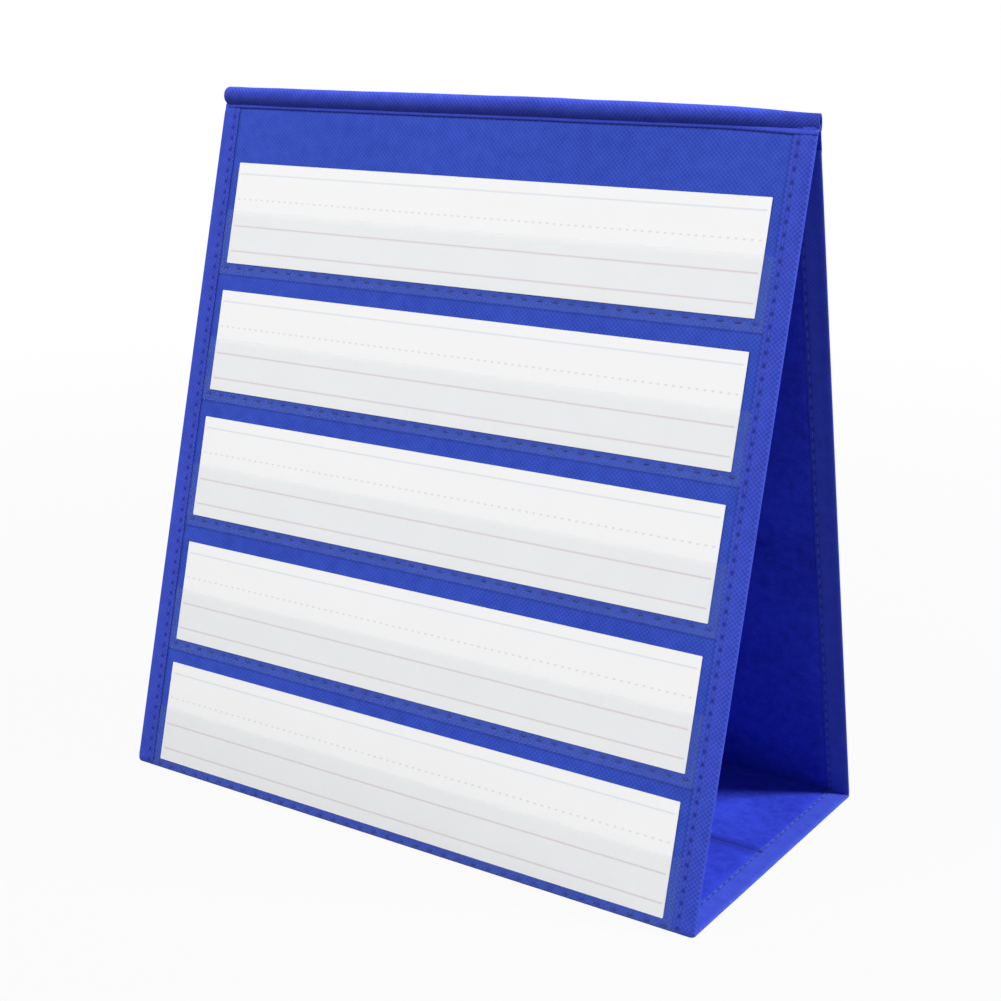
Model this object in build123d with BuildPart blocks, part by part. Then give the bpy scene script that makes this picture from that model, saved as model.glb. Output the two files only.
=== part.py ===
from build123d import *
import os
from math import asin, atan, cos, degrees, radians, sin, tan

# Tabletop pocket chart: a cloth tent of four stiff panels, clear pockets and loose cards.
# Millimetres. Origin on the table under the ridge, +X to the viewer's right, -Y to the front, +Z up.

# Driving dimensions of the whole tent
panel_width = 325.0
panel_height = 346.5
base_depth = 169.3

# Layers of a panel
cloth = 0.5
board_thickness = 2.0
board_side_margin = 13.5
hem_width = 10.5
hem_shoulder = 1.5

# Folds: free space between faces that lie together when the chart is folded flat
fold_gap = 0.3
end_gap = 0.5
crease_gap = 1.0

# Ridge roll
roll_radius = 4.6
roll_wall = 1.4
roll_overhang = 0.5
roll_rounding = 0.5
flap_side_margin = 1.5

# Pockets
row_count = 5
header_height = 33.5
pocket_film = 0.2
pocket_height = 32.0
pocket_side_wall = 2.5
pocket_seam_height = 3.4
bottom_seam_height = 2.0
bottom_pocket_rise = 0.6
bottom_row_closer = 3.3

# Cards
card_thickness = 0.35
card_side_margin = 15.5
card_row_gap = 14.0
card_lift = 5.7
bottom_card_lift = 4.2
card_back_gap = 0.15
card_front_gap = 0.2
card_pass_gap = 0.25
card_end_gap = 1.0
ramp_end_gap = 0.3

# Seam thread
thread = 0.3
thread_width = 0.5
hem_seam_inset = 7.6
seam_end_margin = 3.0
pocket_thread_height = 2.9
bottom_thread_height = 1.2

# The tent's shape follows from its three overall sizes
lean = degrees(asin(base_depth / 2 / panel_height))
lean_sin = sin(radians(lean))
lean_cos = cos(radians(lean))
ridge_height = panel_height * lean_cos
panel_thickness = 2 * cloth + board_thickness
half_width = panel_width / 2
board_half = half_width - board_side_margin
hem_tip = half_width - hem_width
sheet_half = half_width - cloth

# Fold axes. The front and rear ones lie above the base's top face, at the leaf's inner face,
# the crease below the base's bottom face, and the ridge ones inside the covers' thickness.
corner_axis_rise = panel_thickness + fold_gap / 2
corner_axis_inset = corner_axis_rise * (1 + lean_sin) / lean_cos
ridge_axis_depth = cloth / 2
ridge_axis_offset = panel_thickness - ridge_axis_depth + fold_gap / 2
ridge_axis_drop = (ridge_axis_offset + ridge_axis_depth * lean_cos) / lean_sin
ridge_axis_height = panel_height - ridge_axis_drop
leaf_top = ridge_axis_height - end_gap / 2
base_low = crease_gap / 2
base_high = base_depth / 2 - corner_axis_inset - end_gap

# Card rows, spread over the leaf between the header and the bottom edge
row_span = panel_height - header_height - bottom_pocket_rise - card_lift + card_row_gap
row_pitch = (row_span + bottom_row_closer) / row_count
card_height = row_pitch - card_row_gap
card_length = panel_width - 2 * card_side_margin
top_pocket_rise = panel_height - header_height - card_height - card_lift
bottom_row_gap = card_row_gap - bottom_row_closer + card_lift - bottom_card_lift
narrow_row_gap = min(card_row_gap, bottom_row_gap)

# A card slides up and slightly outwards, so that it passes in front of the pocket above it
card_step = card_thickness + card_front_gap + pocket_film + card_pass_gap
slide_tilt = degrees(atan(card_step / narrow_row_gap))
pocket_gape = tan(radians(slide_tilt))
card_front = card_back_gap + card_thickness

# Faces of the four panels: x along the width, y up or out from the low end, z outwards
front_face = Plane(origin=(0, -base_depth / 2, 0), x_dir=(1, 0, 0), z_dir=(0, -lean_cos, lean_sin))
back_face = Plane(origin=(0, base_depth / 2, 0), x_dir=(-1, 0, 0), z_dir=(0, lean_cos, lean_sin))
base_front_face = Plane(origin=(0, 0, 0), x_dir=(1, 0, 0), z_dir=(0, 0, -1))
base_rear_face = Plane(origin=(0, 0, 0), x_dir=(-1, 0, 0), z_dir=(0, 0, -1))


def across(face, height):
    """Plane across a panel at a height, with x along the width and y outwards."""
    centre = face.from_local_coords((0, height, 0))
    return Plane(origin=centre, x_dir=face.x_dir, z_dir=-face.y_dir)


def beside(face, station):
    """Plane along a panel at a station of its width, with x up the panel and y outwards."""
    centre = face.from_local_coords((station, 0, 0))
    return Plane(origin=centre, x_dir=face.y_dir, z_dir=face.x_dir)


def save(piece, name):
    piece.part.label = name
    export_step(piece.part, f"parts/{name}.step")


def flat_sheet(face, half, low, high, inner, outer):
    """A flat sheet on a panel, from its inner to its outer level."""
    with BuildPart() as sheet:
        with BuildSketch(face.offset(inner)):
            with Locations((0, (low + high) / 2)):
                Rectangle(2 * half, high - low)
        extrude(amount=outer - inner)
    return sheet


def shaped_sheet(face, low, high, middle, middle_half, edge, edge_half):
    """A cloth sheet whose side edges lie at another level than its middle."""
    outer = [(-sheet_half, edge), (-edge_half, edge), (-middle_half, middle)]
    outer += [(-x, level) for x, level in reversed(outer)]
    inner = [(x, level - cloth) for x, level in reversed(outer)]
    with BuildPart() as sheet:
        with BuildSketch(across(face, high)):
            with BuildLine():
                Polyline(*outer, *inner, close=True)
            make_face()
        extrude(amount=high - low)
    return sheet


def side_hem(face, side, low, high, inner, outer):
    """A strip folded round one side edge of a panel."""
    web = half_width - cloth
    outline = [(hem_tip, outer), (half_width, outer), (half_width, inner), (hem_tip, inner)]
    outline += [(hem_tip, inner + cloth), (web, inner + cloth)]
    outline += [(web, outer - cloth), (hem_tip, outer - cloth)]
    with BuildPart() as hem:
        with BuildSketch(across(face, high)):
            with BuildLine():
                Polyline(*[(side * x, level) for x, level in outline], close=True)
            make_face()
        extrude(amount=high - low)
    return hem


def hem_threads(face, low, high, levels):
    """The hems' seam threads, one bar on each side at each level given."""
    with BuildPart() as threads:
        for level in levels:
            with BuildSketch(face.offset(level)):
                with GridLocations(2 * (half_width - hem_seam_inset), 0, 2, 1):
                    with Locations((0, (low + high) / 2)):
                        Rectangle(thread_width, high - low - 2 * seam_end_margin)
            extrude(amount=thread)
    return threads


def make_board_and_lining(name, face, low, high, lining_edge):
    """The stiff board of a panel, and the lining that covers it and meets the cover at the sides."""
    board_inner = -cloth - board_thickness
    board = flat_sheet(face, board_half, low, high, board_inner, -cloth)
    save(board, f"{name}_board")
    lining = shaped_sheet(face, low, high, board_inner, board_half, lining_edge, hem_tip)
    save(lining, f"{name}_lining")


def make_hems(name, face, low, high, inner, outer):
    for side in (-1, 1):
        hem = side_hem(face, side, low, high, inner, outer)
        side_name = "right" if side * face.x_dir.X > 0 else "left"
        save(hem, f"{name}_hem_{side_name}")


def make_leaf(name, face):
    """A standing leaf. It leans, so its deeper layers start higher, level with the table."""
    foot_slope = tan(radians(lean))
    cover = flat_sheet(face, sheet_half, cloth * foot_slope, leaf_top, -cloth, 0)
    save(cover, f"{name}_cover")
    make_board_and_lining(name, face, panel_thickness * foot_slope, leaf_top, -cloth)
    hem_inner = -3 * cloth
    hem_outer = pocket_film + cloth
    hem_low = -hem_inner * foot_slope
    make_hems(name, face, hem_low, leaf_top, hem_inner, hem_outer)
    threads = hem_threads(face, hem_low, leaf_top, [hem_outer, hem_inner - thread])
    save(threads, f"{name}_hem_thread")


def make_base_half(name, face):
    """Half of the base. Its cover steps in at the sides, so that the hems lie flush with it."""
    cover = shaped_sheet(face, base_low, base_high, 0, hem_tip - hem_shoulder, -cloth, hem_tip)
    save(cover, f"{name}_cover")
    make_board_and_lining(name, face, base_low, base_high, -2 * cloth)
    hem_inner = -4 * cloth
    make_hems(name, face, base_low, base_high, hem_inner, 0)
    threads = hem_threads(face, base_low, base_high, [hem_inner - thread])
    save(threads, f"{name}_hem_thread")


def make_pocket(name, face, rise, lift, seam_height):
    """A clear film strip, flat along its seam and sides, standing off to hold a card.

    It is divided at its folds, so that each stretch of film is a solid with nothing hollow in it.
    """
    card_level = card_front + card_front_gap
    film_top = rise + pocket_height
    top_level = card_level + (pocket_height - lift) * pocket_gape
    ramp_end = rise + lift - ramp_end_gap
    pouch_end = card_length / 2 + card_end_gap
    wall_foot = pouch_end + pocket_side_wall
    levels = [(rise, 0), (rise + seam_height, 0), (ramp_end, card_level), (film_top, top_level)]
    right = [(pouch_end, 1), (wall_foot, 0), (sheet_half, 0)]
    stations = [(-x, share) for x, share in reversed(right)] + right
    with BuildPart() as pocket:
        for (low, low_level), (high, high_level) in zip(levels, levels[1:]):
            for station, share in stations:
                back = [(low, share * low_level), (high, share * high_level)]
                front = [(height, level + pocket_film) for height, level in reversed(back)]
                with BuildSketch(beside(face, station)):
                    with BuildLine():
                        Polyline(*back, *front, close=True)
                    make_face()
            loft(ruled=True)
        for fold in (beside(face, -pouch_end), beside(face, pouch_end), across(face, ramp_end)):
            split(bisect_by=fold, keep=Keep.BOTH)
    save(pocket, name)


def make_row(leaf, face, row):
    """A pocket and its card. Row 1 is the top one."""
    if row == row_count:
        rise = bottom_pocket_rise
        lift = bottom_card_lift
        seam_height = bottom_seam_height
    else:
        rise = top_pocket_rise - (row - 1) * row_pitch
        lift = card_lift
        seam_height = pocket_seam_height
    make_pocket(f"{leaf}_pocket_{row}", face, rise, lift, seam_height)
    card_low = rise + lift
    card = flat_sheet(face, card_length / 2, card_low, card_low + card_height, card_back_gap, card_front)
    save(card, f"{leaf}_card_{row}")


def make_pocket_thread(leaf, face):
    """The thread of the five pocket seams of one leaf, on the film's flat foot."""
    heights = [top_pocket_rise - row * row_pitch + pocket_thread_height for row in range(row_count - 1)]
    heights.append(bottom_pocket_rise + bottom_thread_height)
    with BuildPart() as threads:
        with BuildSketch(face.offset(pocket_film)):
            with Locations(*[(0, height) for height in heights]):
                Rectangle(card_length, thread_width)
        extrude(amount=thread)
    save(threads, f"{leaf}_pocket_thread")


def make_ridge():
    """The rolled seam on top and the two flaps that join it to the leaves."""
    roll_length = panel_width + 2 * roll_overhang
    with BuildPart() as roll:
        with BuildSketch(Plane(origin=(-roll_length / 2, 0, ridge_height), x_dir=(0, 1, 0), z_dir=(1, 0, 0))):
            Circle(roll_radius)
            Circle(roll_radius - roll_wall, mode=Mode.SUBTRACT)
        extrude(amount=roll_length)
        outer_rims = roll.edges().filter_by(GeomType.CIRCLE).sort_by(SortBy.RADIUS)[-2:]
        fillet(outer_rims, radius=roll_rounding)
    save(roll, "ridge_roll")
    flap_low = ridge_axis_height + end_gap / 2
    flap_high = panel_height - roll_radius
    for leaf, face in (("front", front_face), ("back", back_face)):
        flap = flat_sheet(face, sheet_half - flap_side_margin, flap_low, flap_high, -cloth, 0)
        save(flap, f"ridge_flap_{leaf}")


os.makedirs("parts", exist_ok=True)

make_ridge()
make_base_half("base_front", base_front_face)
make_base_half("base_rear", base_rear_face)
for leaf, face in (("front", front_face), ("back", back_face)):
    make_leaf(leaf, face)
    for row in range(1, row_count + 1):
        make_row(leaf, face, row)
    make_pocket_thread(leaf, face)

print("lean", round(lean, 3), "row pitch", round(row_pitch, 2), "card", card_length, round(card_height, 2))
print("slide tilt", round(slide_tilt, 3), "ridge height", round(ridge_height, 2))
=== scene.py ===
import bmesh
import bpy
from math import cos, exp, hypot, pi, radians, sin, tan
from mathutils import Matrix, Vector, noise
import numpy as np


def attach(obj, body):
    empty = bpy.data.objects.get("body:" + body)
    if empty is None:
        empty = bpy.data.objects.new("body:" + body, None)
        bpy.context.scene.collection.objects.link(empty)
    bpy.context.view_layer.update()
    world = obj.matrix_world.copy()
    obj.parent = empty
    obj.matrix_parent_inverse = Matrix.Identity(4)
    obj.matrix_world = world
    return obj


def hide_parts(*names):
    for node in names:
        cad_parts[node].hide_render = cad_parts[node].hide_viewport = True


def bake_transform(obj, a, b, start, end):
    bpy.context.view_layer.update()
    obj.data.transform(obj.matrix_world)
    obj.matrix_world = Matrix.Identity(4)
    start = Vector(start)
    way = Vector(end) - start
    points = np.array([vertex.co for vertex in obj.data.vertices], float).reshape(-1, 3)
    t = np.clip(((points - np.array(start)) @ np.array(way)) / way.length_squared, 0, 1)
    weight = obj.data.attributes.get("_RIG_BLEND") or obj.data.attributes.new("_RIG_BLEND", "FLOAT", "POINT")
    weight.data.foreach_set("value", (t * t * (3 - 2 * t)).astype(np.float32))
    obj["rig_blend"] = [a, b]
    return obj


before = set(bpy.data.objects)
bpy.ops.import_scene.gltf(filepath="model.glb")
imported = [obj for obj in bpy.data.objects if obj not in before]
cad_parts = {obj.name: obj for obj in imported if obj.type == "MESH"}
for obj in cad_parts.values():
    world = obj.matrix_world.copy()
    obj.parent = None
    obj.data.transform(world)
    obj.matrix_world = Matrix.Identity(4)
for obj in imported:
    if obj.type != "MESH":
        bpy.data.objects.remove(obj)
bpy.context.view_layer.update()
print("frame loaded")

# Lengths in the dictionaries are millimetres. A place on a panel is (x, along, out): x to the right,
# along up the leaf from its bottom edge (below zero it runs on into the base), out from the cover's face.

tent = {
    "lean": 14.140478,  # degrees from upright
    "halfDepth": 84.65,
    "halfWidth": 162.5,
    "thickness": 3.0,
    "cloth": 0.5,
    "cornerRound": 0.9,
    "neckStart": 326.0,  # where the front's cloth hands over to the neck under the roll
    "leafTop": 333.2,
    "baseMiddle": 40.0,  # where the base's cloth hands over to the crease piece
    "neckFold": 333.36,
}
leanSin = sin(radians(tent["lean"]))
leanCos = cos(radians(tent["lean"]))
cornerMiter = 1 / tan(radians(90 - tent["lean"]) / 2)
baseEnd = tent["baseMiddle"] - tent["halfDepth"]


def smooth(value, low, high):
    share = min(1, max(0, (value - low) / (high - low)))
    return share * share * (3 - 2 * share)


def ripple(x, y, size, seed=0):
    return noise.noise(Vector((x / size, y / size, seed * 7.3 + 0.37)))


# placing

def leafPoint(x, up, out):
    y = -tent["halfDepth"] + up * leanSin - out * leanCos
    return Vector((x, y, up * leanCos + out * leanSin)) / 1000


def basePoint(x, inward, out):
    return Vector((x, inward - tent["halfDepth"], -out)) / 1000


def chainPoint(x, along, out):
    # the leaf and the base meet at a mitred corner, rounded a little
    def straight(reach):
        shift = -out * cornerMiter * exp(-abs(reach) / 6)
        return leafPoint(x, reach + shift, out) if reach >= 0 else basePoint(x, shift - reach, out)
    bend = tent["cornerRound"]
    if abs(along) >= bend:
        return straight(along)
    share = (bend - along) / (2 * bend)
    corner = leafPoint(x, -out * cornerMiter, out)
    onLeaf = (1 - share) ** 2 * straight(bend)
    return onLeaf + 2 * share * (1 - share) * corner + share ** 2 * straight(-bend)


def creasePoint(x, along, out):
    return Vector((x, along, -out)) / 1000


def turnedBack(mesh):
    # the back leaf is the front one turned half round
    mesh.transform(Matrix.Rotation(pi, 4, "Z"))


# shader maths

class Value:
    def __init__(self, shader, socket):
        self.shader = shader
        self.socket = socket

    def calc(self, operation, *others):
        values = {i: v for i, v in enumerate([self, *others])}
        return self.shader.node("ShaderNodeMath", {"operation": operation}, values)

    def __add__(self, other):
        return self.calc("ADD", other)

    def __radd__(self, other):
        return self.calc("ADD", other)

    def __sub__(self, other):
        return self.calc("SUBTRACT", other)

    def __rsub__(self, other):
        return self.shader.node("ShaderNodeMath", {"operation": "SUBTRACT"}, {0: other, 1: self})

    def __mul__(self, other):
        return self.calc("MULTIPLY", other)

    def __rmul__(self, other):
        return self.calc("MULTIPLY", other)

    def __truediv__(self, other):
        return self.calc("DIVIDE", other)

    def sine(self):
        return self.calc("SINE")

    def size(self):
        return self.calc("ABSOLUTE")

    def remainder(self, other):
        return self.calc("FLOORED_MODULO", other)

    def above(self, other):
        return self.calc("GREATER_THAN", other)

    def clipped(self):
        return self.shader.node("ShaderNodeClamp", {}, {0: self, 1: 0.0, 2: 1.0})

    def near(self, core):
        # for a distance: one as far out as core, then fading to nothing over one more
        return (1 + core - self).clipped()


class Tree:
    def __init__(self, tree):
        self.tree = tree

    def node(self, kind, settings, values, output=0):
        node = self.tree.nodes.new(kind)
        for name, value in settings.items():
            setattr(node, name, value)
        for key, value in values.items():
            if isinstance(value, Value):
                self.tree.links.new(value.socket, node.inputs[key])
            else:
                node.inputs[key].default_value = value
        return Value(self, node.outputs[output])

    def outputs(self, value, *names):
        # other outputs of the node that a value comes from
        return [Value(self, value.socket.node.outputs[name]) for name in names]


class Shader(Tree):
    def __init__(self, name, **constants):
        self.material = bpy.data.materials.new(name)
        self.material.use_nodes = True
        super().__init__(self.material.node_tree)
        self.surface = self.tree.nodes["Principled BSDF"]
        for socket, value in constants.items():
            self.surface.inputs[socket.replace("_", " ")].default_value = value

    def drive(self, socket, value):
        self.tree.links.new(value.socket, self.surface.inputs[socket])

    def clothAxes(self):
        # along and across the cloth, in millimetres, from the piece's own map
        uv = self.node("ShaderNodeUVMap", {"uv_map": "cloth"}, {})
        scaled = self.node("ShaderNodeVectorMath", {"operation": "SCALE"}, {0: uv, "Scale": 1000.0})
        along = self.node("ShaderNodeSeparateXYZ", {}, {0: scaled})
        return scaled, along, self.outputs(along, 1)[0]

    def objectPlace(self):
        place = self.node("ShaderNodeTexCoord", {}, {}, "Object")
        return self.node("ShaderNodeVectorMath", {"operation": "SCALE"}, {0: place, "Scale": 1000.0})

    def grain(self, place, period, detail=2.0, rough=0.5):
        values = {"Vector": place, "Scale": 1 / period, "Detail": detail, "Roughness": rough}
        return self.node("ShaderNodeTexNoise", {"noise_dimensions": "3D"}, values)

    def blendColours(self, factor, dark, light):
        values = {0: factor, 6: dark, 7: light}
        return self.node("ShaderNodeMix", {"data_type": "RGBA"}, values, 2)

    def bump(self, height, depth):
        # depth is in millimetres
        values = {"Strength": 1.0, "Distance": depth / 1000, "Height": height}
        self.drive("Normal", self.node("ShaderNodeBump", {}, values))


def srgb(red, green, blue):
    # screen levels from 0 to 255, as a linear colour
    def linear(level):
        share = level / 255
        return share / 12.92 if share <= 0.04045 else ((share + 0.055) / 1.055) ** 2.4
    return (linear(red), linear(green), linear(blue), 1.0)


clothLook = {
    "embossPeriod": 2.2573,  # of the rows of pressed diamonds, along both axes
    "coverLow": (32, 55, 163),
    "coverHigh": (61, 91, 208),
    "hemLow": (37, 54, 166),
    "hemHigh": (68, 90, 215),
    "rollLow": (29, 42, 150),
    "rollHigh": (68, 92, 222),
    "lipLow": (40, 55, 173),
    "lipHigh": (75, 95, 222),
    "liningLow": (31, 47, 174),
    "liningHigh": (55, 76, 220),
    "roughness": 0.78,
    "sheen": (0.3, 0.4, 1.0, 1.0),
    "fibres": 1.0,
    "blotches": 0.7,
}

rollLook = {
    "around": 26.2,  # of the cloth, from one side of the slit to the other
    "underStart": 4.2,  # from the top line to where the painted shade on the underside starts
    "underFade": 4.5,
    "underPaintedShade": 0.45,
    # painted shade: the roll's inside and the hems' rims are coloured this dark in place of their shadow
    "paintedShadeLow": (14, 20, 88),
    "paintedShadeHigh": (24, 34, 122),
}

# painted shade in the dip of the base's fold
foldShadeLook = {
    "width": 4.6,
    "wander": 1.8,
    "hemStart": 18.6,  # how far across the hem's map the fold's painted shade shows again
    "hemFade": 1.5,
    "hemWidth": 1.2,
    "hemShade": 0.75,
}

card = {
    "length": 294.0,
    "height": 50.8,
    "thickness": 0.35,
    "back": 0.15,  # from the cover to the card's back
    "corner": 0.4,
    "curl": 0.16,
    "curlFrom": 26,
}

pocket = {
    "height": 32.0,
    "film": 0.2,
    "wall": 0.19,
    "pouchEnd": 148.0,  # from here out to the wall's foot, the film comes down on the cover
    "wallFoot": 150.5,
    "cardLevel": 0.7,
    "rampShort": 0.3,
    "gape": tan(radians(4.686)),  # how the film leans away from the card
    "wave": 0.12,
    "gap": 0.02,
    "rises": [256.5, 191.7, 126.9, 62.1, 0.6],  # each film's lower edge, from the top row down
    "lifts": [5.7, 5.7, 5.7, 5.7, 4.2],  # from there to the card's lower edge
    "seams": [3.4, 3.4, 3.4, 3.4, 2.0],  # from there to where the film leaves the cover
}

pocketSeams = {
    "pitch": 8.2,
    "heights": [3.5, 3.5, 3.5, 3.5, 1.4],  # above each film's lower edge
    "stitchShade": (1.8, 0.8),  # painted shade round each stitch, along and across the seam
    "shade": 0.48,
    "edgeDrop": 0.35,  # the painted shadow line along the film's lower edge
    "edgeWidth": 0.62,
    "edgeShade": 0.36,
}

hemLook = {
    "pitch": 5.461,  # from hole to hole
    "groove": 1.3,
    "grooveShade": 0.24,
    "hole": 1.0,
    "holeShade": 0.55,
    "innerFade": 0.6,  # how much fainter the stitch line is on the inner face
    # the colour of the painted shade in the cloth's seams, holes, folds and roll
    "dark": (20, 28, 104),
    "seams": (2.6, 20.06),  # across the hem's map, one on each face
    "innerFrom": 10,  # where the map passes to the inner face
    "edgeLine": 151.5,  # painted shade line on the cover, beside the hem
    "edgeWidth": 0.8,
    "edgeShade": 0.3,
}


def embossedCloth(name, low, high, contrast=0.5, seams=(), pockets=(), rolled=False):
    # seams: how far across the map the stitch lines lie; pockets: heights of the film strips' lower edges;
    # rolled: whether the cloth lies round the roll, whose underside is painted darker as shade
    shader = Shader(name, Roughness=clothLook["roughness"], Sheen_Weight=0.12, Sheen_Roughness=0.45,
                    Sheen_Tint=clothLook["sheen"], Specular_IOR_Level=0.2)
    place, u, v = shader.clothAxes()
    turn = 2 * pi / clothLook["embossPeriod"]
    diamonds = (u * turn).sine() * (v * turn).sine()
    fibres = shader.grain(place, 0.45, 3.0, 0.65)
    blotches = shader.grain(place, 7.0, 3.0, 0.6)
    drift = shader.grain(place, 90.0, 1.0)
    shade = 0
    if seams:
        # the thread pulls a groove into the cloth, deepest at each hole, and their shade is painted dark into
        # the colour; the inner face is smoother
        inner = (u - hemLook["innerFrom"]).clipped()
        toLine = (u - seams[0]).size().calc("MINIMUM", (u - seams[1]).size())
        toHole = ((v / hemLook["pitch"] + 100).remainder(1.0) - 0.5).size() * hemLook["pitch"]
        groove = (1 - toLine / hemLook["groove"]).clipped()
        hole = ((toLine * toLine + toHole * toHole).calc("SQRT") / hemLook["hole"]).near(0.4)
        hole = hole * (0.2 + blotches * 1.5).clipped() * hemLook["holeShade"]
        shade = (groove * hemLook["grooveShade"] + hole).clipped() * (1 - inner * hemLook["innerFade"])
        # the painted shade of the base's fold runs a little way into the hem
        foldShadeEnd = ((v + tent["halfDepth"]).size() / foldShadeLook["hemWidth"]).near(0.3)
        foldShadeEnd = foldShadeEnd * ((u - foldShadeLook["hemStart"]) / foldShadeLook["hemFade"]).clipped()
        shade = (shade + foldShadeEnd * foldShadeLook["hemShade"]).clipped()
        diamonds = diamonds * (1 - groove) * (1 - inner * 0.7)
    tone = (0.5 + diamonds * contrast * 0.5 + (fibres - 0.5) * clothLook["fibres"]
            + (blotches - 0.5) * clothLook["blotches"] + (drift - 0.5) * 0.4)
    colour = shader.blendColours(tone.clipped(), srgb(*low), srgb(*high))
    if pockets:
        height = (v + tent["halfDepth"]).size() - tent["halfDepth"]
        # painted shade on the cover along the hem's inner edge
        toHem = (u.size() - hemLook["edgeLine"]).size() / hemLook["edgeWidth"]
        shade = toHem.near(0.2) * hemLook["edgeShade"]
        long, wide = pocketSeams["stitchShade"]
        toStitch = ((u / pocketSeams["pitch"] + 100.5).remainder(1.0) - 0.5) * (pocketSeams["pitch"] / long)
        for foot, rise in zip(pockets, pocketSeams["heights"]):
            # painted shade where each stitch pulls the cloth in
            toSeam = (height - (foot + rise)) / wide
            stitchShade = (toStitch * toStitch + toSeam * toSeam).calc("SQRT").near(0.4)
            # painted shadow under each film's lower edge
            toEdge = (height - foot + pocketSeams["edgeDrop"]).size() / pocketSeams["edgeWidth"]
            shade = shade + toEdge.near(0.3) * pocketSeams["edgeShade"]
            shade = shade + stitchShade * (0.3 + blotches).clipped() * pocketSeams["shade"]
        shade = shade.clipped()
    # painted shade: the roll's underside is darkened in the colour, away from its top line
    if rolled:
        fromTop = (u - rollLook["around"] / 2).size() - rollLook["underStart"]
        shade = (fromTop / rollLook["underFade"]).clipped() * rollLook["underPaintedShade"]
    if seams or pockets or rolled:
        colour = shader.blendColours(shade, colour, srgb(*hemLook["dark"]))
    shader.drive("Base Color", colour)
    shader.bump(diamonds * 0.5 + fibres * 0.35, 0.16)
    return shader.material


def plainCloth(name, low, high):
    # the smooth side, a little felted
    shader = Shader(name, Roughness=0.85, Sheen_Weight=0.1, Sheen_Roughness=0.5,
                    Sheen_Tint=clothLook["sheen"], Specular_IOR_Level=0.12)
    place, u, v = shader.clothAxes()
    turn = 2 * pi / clothLook["embossPeriod"]
    diamonds = (u * turn).sine() * (v * turn).sine()
    fibres = shader.grain(place, 0.8, 3.0, 0.7)
    blotches = shader.grain(place, 5.5, 4.0, 0.65)
    clouds = shader.grain(place, 32.0, 2.0)
    tone = 0.5 + (blotches - 0.5) * 1.5 + (fibres - 0.5) * 1.5 + (clouds - 0.5) * 1.0 + diamonds * 0.06
    colour = shader.blendColours(tone.clipped(), srgb(*low), srgb(*high))
    # painted shade along the fold across the base, where the cloth dips between the boards
    fromFold = (v + tent["halfDepth"] + (clouds - 0.5) * foldShadeLook["wander"]).size()
    fold = (fromFold / foldShadeLook["width"]).near(0.3) * (blotches - 0.08).clipped()
    shader.drive("Base Color", shader.blendColours(fold, colour, srgb(*hemLook["dark"])))
    shader.bump(fibres * 0.6 + blotches * 0.45 + diamonds * 0.06, 0.2)
    return shader.material


threadTint = {
    "low": (46, 63, 172),
    "high": (76, 97, 214),
    "darkLow": (22, 32, 118),
    "darkHigh": (44, 60, 160),
}


def threadLook(name, low, high):
    shader = Shader(name, Roughness=0.55, Specular_IOR_Level=0.4, Sheen_Weight=0.1)
    place = shader.objectPlace()
    strands = shader.grain(place, 0.3, 2.0)
    shader.drive("Base Color", shader.blendColours(strands, srgb(*low), srgb(*high)))
    shader.bump(strands, 0.08)
    return shader.material


filmTint = {
    "low": (0.18, 0.32, 0.38, 1),
    "high": (0.26, 0.4, 0.46, 1),
    "body": 0.032,  # how much of the light the film stops
    "haze": 0.008,
    "scuffs": 0.003,
}


def filmLook(name):
    # most of the film is clear; the little that isn't is glossy, so it mirrors as much as plain film does
    shader = Shader(name, Specular_IOR_Level=0.9, IOR=2.0)
    place = shader.objectPlace()
    haze = shader.grain(place, 30.0, 2.0)
    scuffs = shader.grain(place, 2.2, 3.0, 0.6)
    shader.drive("Base Color", shader.blendColours(haze, filmTint["low"], filmTint["high"]))
    shader.drive("Alpha", filmTint["body"] + haze * filmTint["haze"] + scuffs * filmTint["scuffs"])
    shader.drive("Roughness", 0.14 + scuffs * 0.16)
    shader.bump(haze * 0.8 + scuffs * 0.03, 0.4)
    return shader.material


cardLook = {
    "paper": (252, 252, 252),
    "paperShade": (246, 246, 247),
    "blue": (226, 232, 239),
    "dash": (223, 224, 225),
    "red": (231, 217, 223),
    "lines": {"blue": 5.6, "dash": 18.2, "redUpper": 31.9, "redLower": 44.6},  # below the card's top edge
    "lineWidth": 0.85,
    "dashPitch": 3.75,
    "dashShare": 0.5,
    "margin": 1.5,
}


def cardPaper(name):
    look = cardLook
    shader = Shader(name, Roughness=0.6, Specular_IOR_Level=0.35)
    place, u, v = shader.clothAxes()
    fibres = shader.grain(place, 0.4, 3.0, 0.6)
    clouds = shader.grain(place, 25.0, 2.0)
    tone = (fibres * 0.4 + clouds * 0.6).clipped()
    colour = shader.blendColours(tone, srgb(*look["paperShade"]), srgb(*look["paper"]))
    inside = 1 - u.size().above(card["length"] / 2 - look["margin"])

    def line(below):
        return ((v - below).size() * (2.4 / look["lineWidth"])).near(0.5) * inside
    dashLength = look["dashPitch"] * look["dashShare"]
    toDash = (u.remainder(look["dashPitch"]) - look["dashPitch"] / 2).size()
    dashes = (toDash * (3.2 / dashLength)).near(0.6)
    heights = look["lines"]
    reds = line(heights["redUpper"]) + line(heights["redLower"])
    colour = shader.blendColours(line(heights["blue"]), colour, srgb(*look["blue"]))
    colour = shader.blendColours(line(heights["dash"]) * dashes, colour, srgb(*look["dash"]))
    colour = shader.blendColours(reds.clipped(), colour, srgb(*look["red"]))
    shader.drive("Base Color", colour)
    shader.bump(fibres, 0.03)
    return shader.material


boardTint = {"low": (122, 112, 98), "high": (168, 158, 140)}


def boardLook(name):
    shader = Shader(name, Roughness=0.85)
    place = shader.objectPlace()
    fibres = shader.grain(place, 1.2, 4.0, 0.65)
    shader.drive("Base Color", shader.blendColours(fibres, srgb(*boardTint["low"]), srgb(*boardTint["high"])))
    shader.bump(fibres, 0.1)
    return shader.material


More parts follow.
